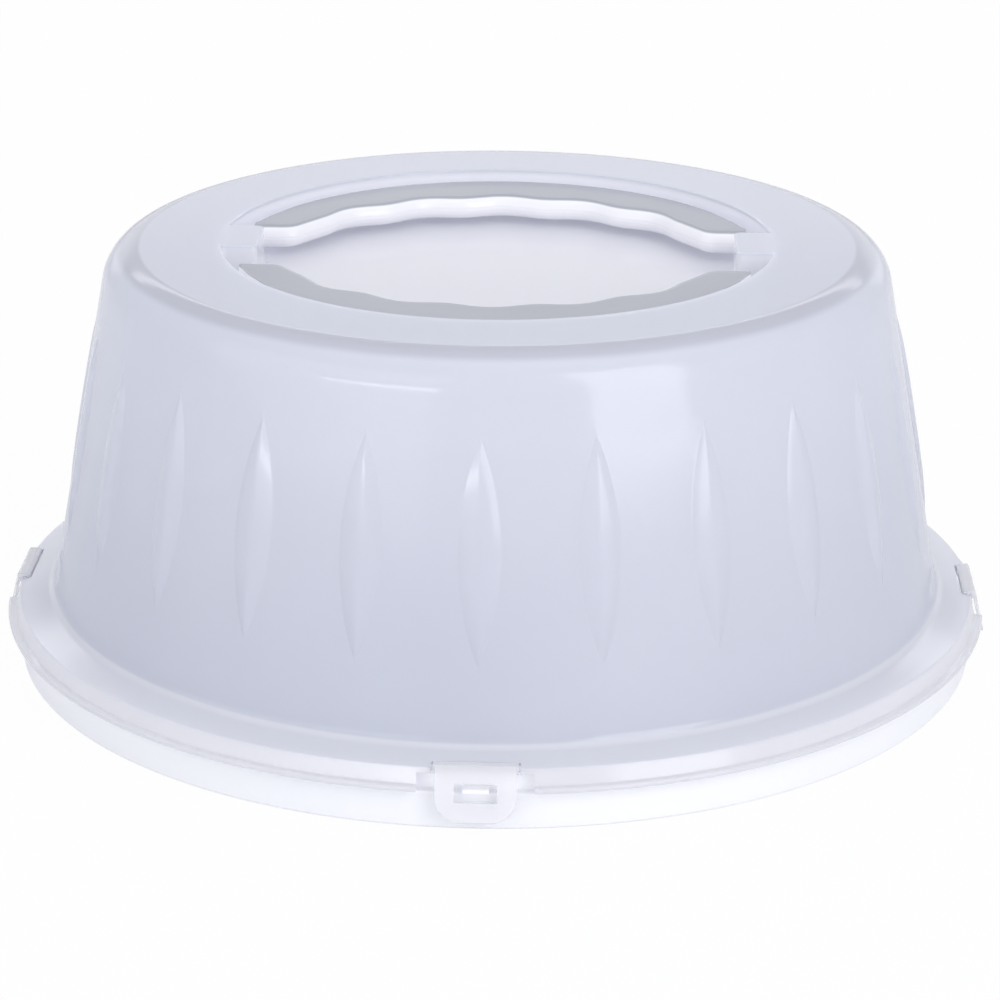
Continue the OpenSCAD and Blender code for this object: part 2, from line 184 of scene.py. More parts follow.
def axis_and_height(tree):
    """Distance from the carrier's axis and height above the table, on the piece itself."""
    place = wired(tree, "ShaderNodeTexCoord")
    apart = wired(tree, "ShaderNodeSeparateXYZ")
    flat = wired(tree, "ShaderNodeVectorMath", operation="MULTIPLY")
    flat.inputs[1].default_value = (1.0, 1.0, 0.0)
    length = wired(tree, "ShaderNodeVectorMath", operation="LENGTH")
    tree.links.new(place.outputs["Object"], apart.inputs[0])
    tree.links.new(place.outputs["Object"], flat.inputs[0])
    tree.links.new(flat.outputs["Vector"], length.inputs[0])
    return length.outputs["Value"], apart.outputs["Z"]


def tinted(tree, shader, share, colour, socket="Base Color"):
    """Lays another colour over the one in a socket where the share says so."""
    mix = wired(tree, "ShaderNodeMix", data_type="RGBA")
    mix.inputs[6].default_value = shader.inputs[socket].default_value
    for link in shader.inputs[socket].links:
        tree.links.new(link.from_socket, mix.inputs[6])
    mix.inputs[7].default_value = colour
    tree.links.new(share, mix.inputs[0])
    tree.links.new(mix.outputs[2], shader.inputs[socket])


# %% [markdown]
# ## Hazy lid plastic
# The dome is natural polypropylene: not clear like glass, but milky, so that it shows its own
# pale grey blue and lets only soft shapes through. Part of the light is scattered at the
# surface and part goes through, which is the transmission weight; a polished mould leaves the
# outside glossy.
#
# Light and shade are painted into the colour by height and by distance from the axis. The wall is
# painted paler towards the top; the flange and the skirt are painted paler in place of the white
# tray behind them; the pocket is painted paler with a painted glow, stronger on its wall, in place
# of the light that comes in all round; and the round shoulder carries a painted dark band of
# shade.
# A faint painted glow lies over the whole lid.

# %% Lid plastic
plastic_ior = 1.49


def lid_plastic():
    material, tree, shader = new_material("hazy_lid_plastic")
    shader.inputs["Transmission Weight"].default_value = 0.36
    shader.inputs["IOR"].default_value = plastic_ior
    # A faint painted glow over the whole lid, which flattens its shading.
    shader.inputs["Emission Strength"].default_value = 1.0
    shader.inputs["Emission Color"].default_value = (0.024, 0.025, 0.030, 1.0)
    grained(tree, shader, 220.0, 0.09, 0.14, 0.003)
    clouded(tree, shader, 9.0, linear(221, 224, 236), linear(216, 220, 233))
    out, up = axis_and_height(tree)
    # Painted light: the wall is painted paler towards the top.
    wall_painted_lighter_up = step_up(tree, up, flange_z + 19.0, pocket_z)
    below_top = step_up(tree, up, total_h - 0.4, total_h - 1.2)
    # Painted light: the pocket is painted paler and given a painted glow, stronger on its wall.
    pocket_painted_light = both(tree, step_up(tree, out, pocket_r + 2.1, pocket_r + 1.7), below_top)
    pocket_wall_painted_glow = both(tree, step_up(tree, out, pocket_r - 2.5, pocket_r - 0.7), pocket_painted_light)
    # Painted light: the flange and the skirt are painted paler, in place of light from the white
    # tray behind them.
    flange = step_up(tree, up, flange_z + 3.5, flange_z + 2.5)
    skirt_painted_light = step_up(tree, up, flange_z - 0.2, flange_z - 0.8)
    # Painted shade: a dark band on the round shoulder, standing in for a dark reflection there.
    shoulder_painted_shade = both(tree, step_up(tree, out, crease_r - 0.2, crease_r + 1.3),
                     step_up(tree, up, total_h - 3.5, total_h - 1.5))
    # Painted light and shade laid on the colour: paler up the wall, in the pocket, on the flange
    # and the skirt, and a dark band on the round shoulder.
    tinted(tree, shader, wall_painted_lighter_up, linear(232, 235, 246))
    tinted(tree, shader, pocket_painted_light, linear(240, 240, 244))
    tinted(tree, shader, flange, linear(240, 241, 249))
    tinted(tree, shader, skirt_painted_light, linear(242, 242, 247))
    tinted(tree, shader, shoulder_painted_shade, linear(210, 211, 223))
    # Painted glow in the pocket, stronger on the pocket's wall.
    tinted(tree, shader, pocket_painted_light, (0.066, 0.068, 0.080, 1.0), "Emission Color")
    tinted(tree, shader, pocket_wall_painted_glow, (0.12, 0.12, 0.14, 1.0), "Emission Color")
    return material


# %% [markdown]
# ## Tray, handle and clip plastics
# The tray is solid white and hardly marked, with a faint painted glow; its rim, which the lid
# covers, gets a stronger painted glow that stands in for the light that comes through. The handles
# are moulded in a pale neutral grey; the faces that stand on edge, which is the rounded grip, are
# painted much whiter than the flat top and given a painted glow, in place of light that enters
# them and comes out there. The clips are the same stuff as the lid but clearer, because they are
# thin, with a faint painted glow.

# %% The other plastics
def tray_plastic():
    material, tree, shader = new_material("white_tray_plastic")
    shader.inputs["IOR"].default_value = plastic_ior
    grained(tree, shader, 260.0, 0.30, 0.38, 0.006)
    clouded(tree, shader, 7.0, linear(244, 245, 249), linear(242, 243, 248))
    # A faint painted glow all over the tray.
    shader.inputs["Emission Strength"].default_value = 1.0
    shader.inputs["Emission Color"].default_value = (0.02, 0.02, 0.02, 1.0)
    out, up = axis_and_height(tree)
    # A stronger painted glow on the rim under the lid, standing in for light coming through the
    # lid.
    near_rim = step_up(tree, out, rim_r - 17.4, rim_r - 4.4)
    rim_painted_glow = both(tree, near_rim, step_up(tree, up, rim_top - 8.0, rim_top - 5.0))
    tinted(tree, shader, rim_painted_glow, (0.15, 0.15, 0.16, 1.0), "Emission Color")
    return material


def handle_plastic():
    material, tree, shader = new_material("grey_handle_plastic")
    shader.inputs["IOR"].default_value = plastic_ior
    grained(tree, shader, 300.0, 0.14, 0.20, 0.003)
    clouded(tree, shader, 14.0, linear(174, 177, 186), linear(168, 171, 181))
    # Painted light: faces that stand on edge, the rounded grip, are painted much whiter than the
    # flat top and given a painted glow.
    place = wired(tree, "ShaderNodeTexCoord")
    apart = wired(tree, "ShaderNodeSeparateXYZ")
    tree.links.new(place.outputs["Normal"], apart.inputs[0])
    grip_painted_light = step_up(tree, apart.outputs["Z"], 0.90, 0.78, unit=1.0)
    tinted(tree, shader, grip_painted_light, linear(238, 238, 243))
    shader.inputs["Emission Strength"].default_value = 1.0
    shader.inputs["Emission Color"].default_value = (0.0, 0.0, 0.0, 1.0)
    tinted(tree, shader, grip_painted_light, (0.07, 0.07, 0.08, 1.0), "Emission Color")
    return material


def clip_plastic():
    material, tree, shader = new_material("clear_clip_plastic")
    shader.inputs["Transmission Weight"].default_value = 0.55
    shader.inputs["IOR"].default_value = plastic_ior
    # A faint painted glow all over the clip.
    shader.inputs["Emission Color"].default_value = (0.95, 0.95, 1.0, 1.0)
    shader.inputs["Emission Strength"].default_value = 0.05
    grained(tree, shader, 300.0, 0.10, 0.18, 0.004)
    clouded(tree, shader, 20.0, linear(247, 247, 251), linear(244, 244, 249))
    return material


LID, TRAY, HANDLE, CLIP = lid_plastic(), tray_plastic(), handle_plastic(), clip_plastic()
print("plastics:", ", ".join(m.name for m in (LID, TRAY, HANDLE, CLIP)))

# %% [markdown]
# ## Helpers for modelling
# Moulded plastic is mostly two ideas: an outline turned round an axis, and an outline pushed up.
# Both start as a drawn line. `rounded` puts a true arc at each corner that has a radius, `spun`
# turns a line into a closed solid with the Spin operator, and `pushed` extrudes a flat face.

# %% Drawing outlines
weld = 0.002


def rounded(corners, step=6.0):
    """Points of a closed outline given as (x, y) or, for a rounded corner, (x, y, radius)."""
    points = []
    for i, corner in enumerate(corners):
        here = Vector(corner[:2])
        if len(corner) == 2:
            points.append(here)
            continue
        u = (Vector(corners[i - 1][:2]) - here).normalized()
        w = (Vector(corners[(i + 1) % len(corners)][:2]) - here).normalized()
        half = math.acos(max(-1.0, min(1.0, u.dot(w)))) / 2
        turn = math.pi - 2 * half
        steps = max(2, math.ceil(math.degrees(turn) / step))
        centre = here + (u + w).normalized() * corner[2] / math.sin(half)
        start = here + u * corner[2] / math.tan(half) - centre
        end = here + w * corner[2] / math.tan(half) - centre
        for k in range(steps + 1):
            t = turn * k / steps
            spoke = math.sin(turn - t) * start + math.sin(t) * end
            points.append(centre + spoke / math.sin(turn))
    return points


def moved_in(a, b, c, d):
    """Where the walls a-b and b-c of an outline meet once both have moved d to their right."""
    u = (Vector(b) - Vector(a)).normalized()
    w = (Vector(c) - Vector(b)).normalized()
    n, m = Vector((u.y, -u.x)), Vector((w.y, -w.x))
    return Vector(b) + d * (n + m) / (1 + n.dot(m))


def drawn(name, points, face=False):
    """A new object holding one closed line through 3-D points in millimetres, or its face."""
    mesh = bpy.data.meshes.new(name)
    count = len(points)
    edges = [] if face else [(i, (i + 1) % count) for i in range(count)]
    faces = [list(range(count))] if face else []
    mesh.from_pydata([Vector(p) * MM for p in points], edges, faces)
    made = bpy.data.objects.new(name, mesh)
    bpy.context.scene.collection.objects.link(made)
    chosen(made)
    return made


def chosen(made):
    """Makes one object the only one that operators act on."""
    bpy.ops.object.select_all(action="DESELECT")
    made.select_set(True)
    bpy.context.view_layer.objects.active = made


# %% Spinning, pushing and cutting
def edit_all():
    bpy.ops.object.mode_set(mode="EDIT")
    bpy.ops.mesh.select_all(action="SELECT")


def tidied():
    """Merges doubled points, turns every face outwards and leaves edit mode."""
    bpy.ops.mesh.select_all(action="SELECT")
    bpy.ops.mesh.remove_doubles(threshold=weld * MM)
    bpy.ops.mesh.normals_make_consistent(inside=False)
    bpy.ops.object.mode_set(mode="OBJECT")


def spun(name, outline, steps):
    """A closed solid: an outline of (radius, height) turned once round the upright axis."""
    made = drawn(name, [(r, 0.0, z) for r, z in outline])
    edit_all()
    bpy.ops.mesh.spin(steps=steps, angle=2 * math.pi, center=(0, 0, 0), axis=(0, 0, 1))
    bpy.ops.mesh.select_all(action="SELECT")
    bpy.ops.mesh.remove_doubles(threshold=weld * MM)
    bpy.ops.mesh.dissolve_degenerate(threshold=0.001 * MM)
    tidied()
    return made


def pushed(name, outline, low, high):
    """A closed solid: an outline of (x, y) drawn at one height and extruded to another."""
    made = drawn(name, [(x, y, low) for x, y in outline], face=True)
    edit_all()
    bpy.ops.mesh.extrude_region_move(TRANSFORM_OT_translate={"value": (0, 0, (high - low) * MM)})
    tidied()
    return made


def placed(made, matrix):
    """Moves the mesh itself, so that the object stays at the origin."""
    made.data.transform(matrix)
    if matrix.determinant() < 0:
        made.data.flip_normals()
    made.data.update()
    return made


def combined(made, other, how):
    """Cuts another solid out of a piece, or joins it on, and uses the other one up."""
    chosen(made)
    step = made.modifiers.new(how, "BOOLEAN")
    step.operation = how
    step.solver = "EXACT"
    step.object = other
    bpy.ops.object.modifier_apply(modifier=step.name)
    bpy.data.objects.remove(other)
    return made


def turned(degrees, axis="Z"):
    return Matrix.Rotation(math.radians(degrees), 4, axis)


def moved(x, y, z):
    return Matrix.Translation((x * MM, y * MM, z * MM))


def finished(made, body, node, material, sharp=35.0):
    """Gives a piece its material and shading, ties it to its body and hides the frame's node."""
    chosen(made)
    made.data.materials.clear()
    made.data.materials.append(material)
    bpy.ops.object.shade_smooth_by_angle(angle=math.radians(sharp))
    weighted = made.modifiers.new("even_shading", "WEIGHTED_NORMAL")
    weighted.keep_sharp = True
    weighted.weight = 80
    bpy.ops.object.modifier_apply(modifier=weighted.name)
    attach(made, body)
    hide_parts(node)
    print(f"{made.name}: {len(made.data.vertices)} points, {len(made.data.polygons)} faces")
    return made


# %% [markdown]
# ## Tray
# The tray is one turned moulding: a foot ring, a low wall, a ledge that the lid's skirt drops
# onto, and a rim that stands in from the wall inside the skirt. Underneath it has a ring and
# spokes that keep the floor flat, and it has one small catch for each clip to snap over.

# %% Tray outline
tray_floor, tray_foot, tray_foot_w = 4.2, 2.0, 5.0
tray_wall_h = 12.6
rim_in = rim_r - 2.2
tray_outline = rounded([
    (0, tray_foot), (tray_r - tray_foot_w, tray_foot, 0.8), (tray_r - tray_foot_w, 0, 0.4),
    (tray_r, 0, 0.9), (tray_r, tray_wall_h, 0.6), (rim_r, tray_wall_h, 0.4),
    (rim_r, rim_top, 0.9), (rim_in, rim_top, 0.9), (rim_in, tray_floor, 6.0), (0, tray_floor),
], step=15.0)
tray = spun("tray_body", tray_outline, 256)

# %% Ring and spokes under the floor
under_ring_r, under_rib_t, under_rib_h, under_rib_count = 60.0, 1.6, 1.4, 12
under_low = tray_foot - under_rib_h
sunk = 0.3
under_high = tray_foot + sunk
ring = spun("under_ring", [
    (under_ring_r - under_rib_t / 2, under_low), (under_ring_r + under_rib_t / 2, under_low),
    (under_ring_r + under_rib_t / 2, under_high), (under_ring_r - under_rib_t / 2, under_high),
], 96)
combined(tray, ring, "UNION")
for i in range(under_rib_count):
    spoke = pushed("spoke", [
        (under_ring_r, -under_rib_t / 2), (tray_r - tray_foot_w + sunk, -under_rib_t / 2),
        (tray_r - tray_foot_w + sunk, under_rib_t / 2), (under_ring_r, under_rib_t / 2),
    ], under_low, under_high)
    combined(tray, placed(spoke, turned(i * 360.0 / under_rib_count)), "UNION")

# %% Catches for the clips
catch_w, catch_h, catch_tip, catch_root, catch_sunk = 8.4, 2.6, 171.1, 1.1, 0.01


def catch():
    side = rounded([
        (rim_r - catch_root, -catch_sunk), (catch_tip, -catch_sunk, 0.3),
        (catch_tip, catch_h / 2, 0.5), (rim_r, catch_h), (rim_r - catch_root, catch_h),
    ], step=20.0)
    made = pushed("catch", side, -catch_w / 2, catch_w / 2)
    return placed(made, moved(0, 0, tray_wall_h) @ turned(90, "X"))


for heading in headings.values():
    combined(tray, placed(catch(), turned(heading)), "UNION")
finished(tray, "tray", "tray", TRAY)

# %% [markdown]
# ## Ribbed dome
# The dome's outside is a turned shell with twenty-four low, pointed swellings round its wall,
# like the petals of a fluted mould. A rib could be cut with a boolean, but a grid that follows
# its outline keeps the edge crisp and the shading clean: one fifteen degree slice is made, with
# its columns drawn in to each pointed end, and Spin copies it round.

# %% Shape of one rib
rib_count, rib_len, rib_w, rib_out, rib_crest = 24, 74.0, 14.0, 1.5, 1.0
rib_mid_z = 84.0
rib_reach = rib_w / 2 + rib_crest
rib_sink = (rib_reach ** 2 - rib_crest ** 2 - rib_out ** 2) / (2 * rib_out)
rib_tube = math.hypot(rib_reach, rib_sink)
rib_ring = ((rib_len / 2) ** 2 + rib_crest ** 2 - rib_reach ** 2) / rib_w


def rib_swell(across, along):
    """How far the wall stands out at a place in a rib, in millimetres, or 0 beside it."""
    swell = rib_out
    for side in (-1, 1):
        miss = math.hypot(across - side * (rib_ring + rib_crest), along) - rib_ring
        if abs(miss) >= rib_reach:
            return 0.0
        swell = min(swell, math.sqrt(rib_tube ** 2 - miss ** 2) - rib_sink)
    return max(0.0, swell)


def rib_edge(along):
    """Half the rib's width at a distance along the wall from its middle."""
    low, high = 0.0, rib_w
    for _ in range(30):
        middle = (low + high) / 2
        if rib_swell(middle, along) > 0:
            low = middle
        else:
            high = middle
    return low


rib_tip, tip_step = rib_len / 2, 0.1
while rib_swell(0.0, rib_tip) > 0:
    rib_tip += tip_step
print(f"a rib is {2 * rib_tip:.1f} mm long and {2 * rib_edge(0.0):.1f} mm wide at its middle")

# %% Outside of the lid, from the flat top's edge to the lip
skirt_z, skirt_out, lip_h, lip_r = 13.8, 2.2, 1.9, 174.6
skirt_slope = skirt_out / (flange_z - skirt_z)
foot_r = 4.0


def skirt_at(z):
    return flange_r + (flange_z - z) * skirt_slope


outside = rounded([
    (0, total_h), (*wall_top, shoulder_r), (*wall_foot, foot_r), (flange_r, flange_z, 0.5),
    (skirt_at(skirt_z + lip_h), skirt_z + lip_h, 0.2), (lip_r, skirt_z + lip_h, 0.8),
    (lip_r, skirt_z, 0.8), (0, skirt_z),
], step=6.0)[1:-1]
wall_start = next(i for i, p in enumerate(outside) if p.y < total_h - shoulder_r)
wall_rows = 64
wall_ends = outside[wall_start - 1], outside[wall_start]
wall_line = [wall_ends[0].lerp(wall_ends[1], k / wall_rows) for k in range(1, wall_rows)]
outside[wall_start:wall_start] = wall_line
print(f"outline of the lid's outside: {len(outside)} points")

# %% Inside of the lid, from the skirt's lower edge up to the flat roof
inner_top = moved_in((0, total_h), wall_top, wall_foot, lid_t)
inner_foot = moved_in(wall_top, wall_foot, (flange_r, flange_z), lid_t)
inner_edge = moved_in(wall_foot, (flange_r, flange_z), (skirt_at(skirt_z), skirt_z), lid_t)
inner_low = inner_edge.x + (inner_edge.y - skirt_z) * skirt_slope
inside = rounded([
    (0, inner_top.y), (*inner_top, shoulder_r - lid_t), (*inner_foot, foot_r + lid_t),
    (*inner_edge, 0.4), (inner_low, skirt_z, 0.3), (0, skirt_z),
], step=8.0)[1:-1]
inside.reverse()
rows = outside + inside
last_outer = len(outside) - 1
print(f"one slice has {len(rows)} rows")

# %% One slice of the lid as a grid drawn in to the rib's ends
slice_turn = 360.0 / rib_count
inner_places = (-1.0, -0.93, -0.78, -0.6, -0.4, -0.2, 0.0, 0.2, 0.4, 0.6, 0.78, 0.93, 1.0)
outer_places = (0.06, 0.5, 1.0)
inner_share = 0.66
tip_half_width = 0.2
fade = 9.0


def column_places(half_width, half_slice):
    """Distances across a slice of its columns, crowded onto a rib of that half width."""
    beside = [half_width + s * (half_slice - half_width) for s in outer_places]
    return [-x for x in reversed(beside)] + [s * half_width for s in inner_places] + beside


def slice_point(column, row):
    """Where a point of the grid lies on the lid, in millimetres."""
    r, z = rows[row]
    half_slice = math.radians(slice_turn / 2) * r
    half_width = inner_share * half_slice
    along = (z - rib_mid_z) / math.cos(math.radians(wall_draft))
    swell = 0.0
    if row <= last_outer:
        past = min(1.0, max(0.0, (abs(along) - rib_tip) / fade))
        edge = rib_edge(along) if abs(along) < rib_tip else 0.0
        narrow = max(tip_half_width, edge)
        half_width = narrow + (half_width - narrow) * past * past * (3 - 2 * past)
    across = column_places(half_width, half_slice)[column]
    if row <= last_outer and abs(along) < rib_tip:
        swell = rib_swell(across, along)
    turn = across / r
    r += swell * math.cos(math.radians(wall_draft))
    z += swell * math.sin(math.radians(wall_draft))
    return Vector((r * math.cos(turn), r * math.sin(turn), z))


columns = len(column_places(1.0, 2.0)) - 1
bpy.ops.mesh.primitive_grid_add(x_subdivisions=columns, y_subdivisions=len(rows) - 1, size=2.0)
lid = bpy.context.object
lid.name = lid.data.name = "lid_shell"
for v in lid.data.vertices:
    column = round((v.co.x + 1) / 2 * columns)
    row = round((v.co.y + 1) / 2 * (len(rows) - 1))
    v.co = slice_point(column, row) * MM
print(f"slice: {columns} columns, {len(lid.data.vertices)} points")

# %% Twenty-four slices make the shell
edit_all()
bpy.ops.mesh.spin(steps=rib_count - 1, angle=math.radians(360 - slice_turn), dupli=True,
                  center=(0, 0, 0), axis=(0, 0, 1))
bpy.ops.mesh.select_all(action="SELECT")
bpy.ops.mesh.remove_doubles(threshold=0.01 * MM)
bpy.ops.mesh.select_all(action="DESELECT")
bpy.ops.mesh.select_non_manifold()
bpy.ops.mesh.fill_holes(sides=0)
tidied()
print(f"shell: {len(lid.data.polygons)} faces")

# %% [markdown]
# ## Handle pocket
# The pocket is round, with a tongue reaching in from each side between the two handles. Its plan
# is drawn once, by how far it has grown, so the same rule gives the cup under the roof, the
# clear space inside it and the soft edge round its mouth. `stacked` skins such plans one above
# another, which gives a rounded edge that Bevel can't reach on a cut shape.

# %% Plan of the pocket
tongue_x, tongue_w, tongue_r = 83.0, 27.0, 2.0


def pocket_plan(grow, z):
    """The pocket's outline moved out by grow, as points at one height."""
    r, x, half = pocket_r + grow, tongue_x + grow, tongue_w / 2 - grow
    meet = math.degrees(math.asin(half / r))
    steps = 96
    points = []
    for side in (0, 180):
        arc = [math.radians(meet + (180 - 2 * meet) * k / steps + side) for k in range(steps + 1)]
        points += [Vector((r * math.cos(a), r * math.sin(a))) for a in arc]
        s = -1 if side == 0 else 1
        far = points[-1].x
        points += rounded([(far, -s * half), (s * x, -s * half, tongue_r),
                           (s * x, s * half, tongue_r), (far, s * half)], step=15.0)[1:-1]
    return [Vector((p.x, p.y, z)) for p in points]


def stacked(name, loops):
    """A closed solid skinned over loops of as many points each, with a flat face at both ends."""
    count = len(loops[0])
    faces = [[i * count + k, i * count + (k + 1) % count, (i + 1) * count + (k + 1) % count,
              (i + 1) * count + k] for i in range(len(loops) - 1) for k in range(count)]
    faces += [list(range(count))[::-1], [(len(loops) - 1) * count + k for k in range(count)]]
    mesh = bpy.data.meshes.new(name)
    mesh.from_pydata([p * MM for loop in loops for p in loop], [], faces)
    made = bpy.data.objects.new(name, mesh)
    bpy.context.scene.collection.objects.link(made)
    chosen(made)
    edit_all()
    tidied()
    return made


def quarter(radius, steps=5):
    """Steps of a quarter round as (sine, one less cosine) times its radius."""
    turns = [math.pi / 2 * k / steps for k in range(steps + 1)]
    return [(radius * math.sin(t), radius * (1 - math.cos(t))) for t in turns]


# %% Cup, sockets and clear space
pocket_bevel, floor_fillet, cup_round = 0.8, 1.5, 1.0
cup_low = pocket_z - lid_t
cup_loops = [pocket_plan(lid_t - cup_round + s, cup_low + c) for s, c in quarter(cup_round)]
cup = stacked("cup", cup_loops + [pocket_plan(lid_t, total_h - lid_t / 2)])
combined(lid, cup, "UNION")
pin_y, handle_mid_z, socket_r = 26.4, 138.8, 4.28
socket_in, socket_out = 92.0, 97.8


def across_cylinder(name, radius, start, end, y, z, sides=48):
    """A round bar along X between two places, as a primitive at its size."""
    bpy.ops.mesh.primitive_cylinder_add(vertices=sides, radius=radius * MM,
                                        depth=(end - start) * MM)
    made = bpy.context.object
    made.name = name
    return placed(made, moved((start + end) / 2, y, z) @ turned(90, "Y"))


for x in (-1, 1):
    for y in (-1, 1):
        start, end = sorted((x * socket_in, x * socket_out))
        socket = across_cylinder("socket", socket_r, start, end, y * pin_y, handle_mid_z)
        combined(lid, socket, "UNION")
clear_loops = [pocket_plan(s - floor_fillet, pocket_z + c) for s, c in quarter(floor_fillet)]
rim_loops = [pocket_plan(c, total_h - pocket_bevel + s) for s, c in quarter(pocket_bevel)]
over = [pocket_plan(pocket_bevel, total_h + 2.0)]
combined(lid, stacked("clear_space", clear_loops + rim_loops + over), "DIFFERENCE")
pin_r, pin_clear, pin_start, pin_end = 2.0, 0.08, 87.6, 96.1
for x in (-1, 1):
    for y in (-1, 1):
        start, end = sorted((x * pin_start, x * pin_end))
        bore = across_cylinder("bore", pin_r + pin_clear, start, end, y * pin_y, handle_mid_z)
        combined(lid, bore, "DIFFERENCE")
print(f"with its pocket the lid has {len(lid.data.polygons)} faces")

# %% [markdown]
# ## Places for the clips
# At each of the four clips the skirt has a notch, the flange has a slot, and a thin round bar
# crosses the slot. The clip snaps over the bar and turns on it.

# %% Notches, slots and bars
clip_w, clip_side, notch_side = 27.0, 0.6, 5.2
bar_r, bar_at, bar_z, bar_sunk = 1.0, 168.7, 20.6, 0.5
cutout_in, notch_in = 166.22, 167.7
cut_low, cut_high, cut_out = 5.0, 40.0, 190.0


def block(name, low, high):
    """A plain block between two corners, used only to cut with."""
    outline = [(low[0], low[1]), (high[0], low[1]), (high[0], high[1]), (low[0], high[1])]
    return pushed(name, outline, low[2], high[2])


for heading in headings.values():
    half = clip_w / 2 + notch_side
    notch = block("notch", (notch_in, -half, cut_low), (cut_out, half, flange_z - lid_t))
    combined(lid, placed(notch, turned(heading)), "DIFFERENCE")
    half = clip_w / 2 + clip_side
    slot_cut = block("slot", (cutout_in, -half, cut_low), (cut_out, half, cut_high))
    combined(lid, placed(slot_cut, turned(heading)), "DIFFERENCE")
    half += bar_sunk
    bar = across_cylinder("bar", bar_r, -half, half, 0, 0, sides=32)
    placed(bar, turned(heading) @ moved(bar_at, 0, bar_z) @ turned(90))
    combined(lid, bar, "UNION")
finished(lid, "lid", "lid", LID, sharp=28.0)

# %% [markdown]
# ## Handles
# Each handle is a crescent with a wavy grip. Seen end on, every slice across it is the same idea:
# fully round at the grip, softly rounded at the outer edge, flat above and below. So the slices
# are drawn one after another along the grip's line and skinned, which follows the waves exactly.

# %% Line of the grip
handle_r, handle_t, edge_r = 92.5, 8.4, 2.0
grip_shift, ridge_r, finger_depth, finger_pitch, finger_count = 15.3, 81.6, 2.8, 20.2, 5
finger_end = finger_pitch * finger_count / 2
lobe_r, barrel_x = 8.0, 87.6
barrel_r = handle_t / 2
lobe_y = pin_y - barrel_r + lobe_r
lobe_x = math.sqrt((ridge_r + lobe_r) ** 2 - (grip_shift + lobe_y) ** 2)
lobe_turn = math.asin(lobe_x / (ridge_r + lobe_r))


def grip_line():
    """Points along the grip edge of the front handle, from its left end to its right."""
    points = []
    steps = 110
    for k in range(steps + 1):
        a = finger_end * (2 * k / steps - 1)
        r = ridge_r + finger_depth * (1 + math.cos(math.radians(360 * a / finger_pitch))) / 2
        a = math.radians(a)
        points.append(Vector((r * math.sin(a), grip_shift - r * math.cos(a))))
    side = []
    steps = 12
    for k in range(steps + 1):
        t = lobe_turn * (1 - k / steps)
        side.append(Vector((lobe_x - lobe_r * math.sin(t), -lobe_y + lobe_r * math.cos(t))))
    straight = [side[-1].lerp(Vector((barrel_x, barrel_r - pin_y)), k / 4) for k in range(1, 5)]
    side += straight
    return [Vector((-p.x, p.y)) for p in reversed(side)] + points + side


# %% Slices across the handle
parting = 0.12
upper_turns = [*range(90, 17, -12), 8, 2.5]
grip_turns = upper_turns + [0] + [-t for t in reversed(upper_turns)]
edge_turns = [22.5 * k for k in range(5)]


def handle_slices():
    line = grip_line()
    last = len(line) - 1
    end_turn = math.asin(barrel_x / handle_r)
    line_turn = math.atan2(line[last].x, -line[last].y)
    corner_z = barrel_r - edge_r
    loops = []
    for i, here in enumerate(line):
        a = math.atan2(here.x, -here.y) * end_turn / line_turn
        outer = handle_r * Vector((math.sin(a), -math.cos(a)))
        inward = (here - outer).normalized()
        way = (line[min(i + 1, last)] - line[max(i - 1, 0)]).normalized()
        from_grip = Vector((0, -1)) if i in (0, last) else Vector((way.y, -way.x))
        loop = []
        for t in grip_turns:
            groove = parting if t == 0 else 0.0
            t = math.radians(t)
            p = here + (barrel_r * (1 - math.cos(t)) + groove) * from_grip
            loop.append(Vector((p.x, p.y, barrel_r * math.sin(t))))
        for t in edge_turns:
            t = math.radians(t)
            p = outer + edge_r * (1 - math.sin(t)) * inward
            loop.append(Vector((p.x, p.y, -corner_z - edge_r * math.cos(t))))
        for t in edge_turns:
            t = math.radians(t)
            p = outer + edge_r * (1 - math.cos(t)) * inward
            loop.append(Vector((p.x, p.y, corner_z + edge_r * math.sin(t))))
        loops.append([p + Vector((0, 0, handle_mid_z)) for p in loop])
    return loops


front_handle = stacked("front_grip", handle_slices())
print(f"handle: {len(front_handle.data.polygons)} faces")

# %% [markdown]
# A handle this thick is cored out from below, so that it cools evenly, and a rib is left at each
# ridge between the fingers. The round pins at its ends are turned bars, joined on.

# %% Hollow underside and pins
handle_wall, handle_rib, grip_wall, core_past = 2.6, 1.8, 1.0, 1.0
core_in = ridge_r + finger_depth + barrel_r + grip_wall
core_out = handle_r - handle_wall


def core_outline(start, end):
    """One hollow between two ribs, from the grip's wall to the outer wall."""
    spare = math.degrees(handle_rib / 2 / core_in)
    turns = [math.radians(start + spare + (end - start - 2 * spare) * k / 10) for k in range(11)]
    near = [Vector((core_in * math.sin(a), grip_shift - core_in * math.cos(a))) for a in turns]
    far = []
    for a in turns:
        r = grip_shift * math.cos(a) + math.sqrt(core_out ** 2 - (grip_shift * math.sin(a)) ** 2)
        far.append(Vector((r * math.sin(a), grip_shift - r * math.cos(a))))
    return near + far[::-1]


for k in range(finger_count):
    start = k * finger_pitch - finger_end
    core = pushed("core", core_outline(start, start + finger_pitch),
                  handle_mid_z - barrel_r - core_past, handle_mid_z + barrel_r - handle_wall)
    combined(front_handle, core, "DIFFERENCE")
pin_root, pin_tip = 6.0, 95.6
for x in (-1, 1):
    start, end = sorted((x * (barrel_x - pin_root), x * pin_tip))
    pin = across_cylinder("pin", pin_r, start, end, -pin_y, handle_mid_z)
    combined(front_handle, pin, "UNION")

